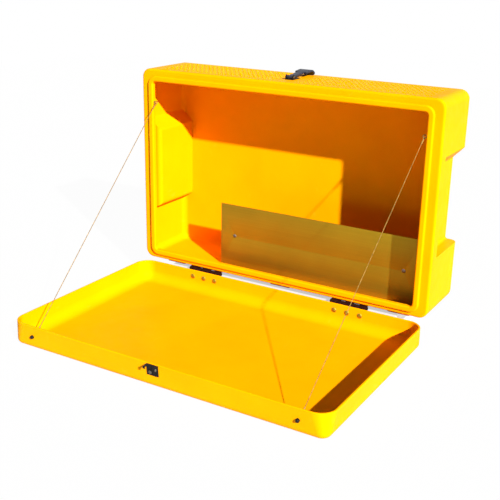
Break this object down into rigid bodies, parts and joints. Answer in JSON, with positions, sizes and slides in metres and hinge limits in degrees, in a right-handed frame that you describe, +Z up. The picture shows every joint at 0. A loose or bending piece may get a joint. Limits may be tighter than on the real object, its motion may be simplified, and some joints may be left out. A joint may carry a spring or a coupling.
{
  "type": "storage box",
  "caption": "Upright moulded storage box with an open front, a drop-down tray lid on hinges held by wire stays, a rubber draw latch and a metal divider plate.",
  "frame": {"origin": "middle of the underside of the middle skid, on the surface that the box stands on", "axes": "+X to the right along the hinges, +Y to the back, +Z up"},
  "size_m": [1, 0.872, 0.7291],
  "materials": {
    "yellow_plastic": "satin moulded polyethylene",
    "divider_metal": "brushed sheet",
    "dark_hinge_steel": "dark oxidised steel",
    "zinc_gold": "yellow zinc plated",
    "stay_steel": "bright wire and swaged fittings",
    "screw_steel": "plain zinc plated",
    "black_steel": "black coated steel",
    "black_rubber": "black moulded rubber"
  },
  "bodies": {
    "box": {"body_shell": "yellow_plastic", "divider_plate": "divider_metal", "divider_tie_left": "divider_metal", "divider_tie_right": "divider_metal", "hinge_left_box_leaf": "dark_hinge_steel", "hinge_left_pin": "dark_hinge_steel", "hinge_right_box_leaf": "dark_hinge_steel", "hinge_right_pin": "dark_hinge_steel", "hinge_box_bolts": "zinc_gold", "hinge_box_nuts": "zinc_gold", "stay_cable_left": "stay_steel", "stay_cable_right": "stay_steel", "stay_terminal_upper_left": "stay_steel", "stay_terminal_upper_right": "stay_steel", "stay_eye_box_left": "stay_steel", "stay_eye_box_right": "stay_steel", "divider_screws": "screw_steel", "divider_nuts": "screw_steel", "latch_screws": "screw_steel", "latch_nuts": "screw_steel", "latch_pin": "screw_steel", "latch_bracket": "black_steel"},
    "lid": {"lid_shell": "yellow_plastic", "hinge_left_lid_leaf": "dark_hinge_steel", "hinge_right_lid_leaf": "dark_hinge_steel", "hinge_lid_bolts": "zinc_gold", "hinge_lid_nuts": "zinc_gold", "stay_eye_lid_left": "stay_steel", "stay_eye_lid_right": "stay_steel", "stay_terminal_lower_left": "stay_steel", "stay_terminal_lower_right": "stay_steel", "stay_lid_dome_nuts": "black_steel", "keeper": "black_steel", "keeper_screws": "screw_steel", "keeper_nuts": "screw_steel"},
    "latch_strap": {"latch_strap": "black_rubber"}
  },
  "joints": [
    {"name": "lid_hinge", "type": "hinge", "parent": "box", "child": "lid", "pos_m": [0, -0.111, 0.008], "axis": [-1, 0, 0], "range_deg": [0, 90], "deforming": ["stay_cable_left", "stay_cable_right"]},
    {"name": "latch_strap_pivot", "type": "hinge", "parent": "box", "child": "latch_strap", "pos_m": [0, -0.05, 0.654], "axis": [1, 0, 0], "range_deg": [0, 180]}
  ]
}
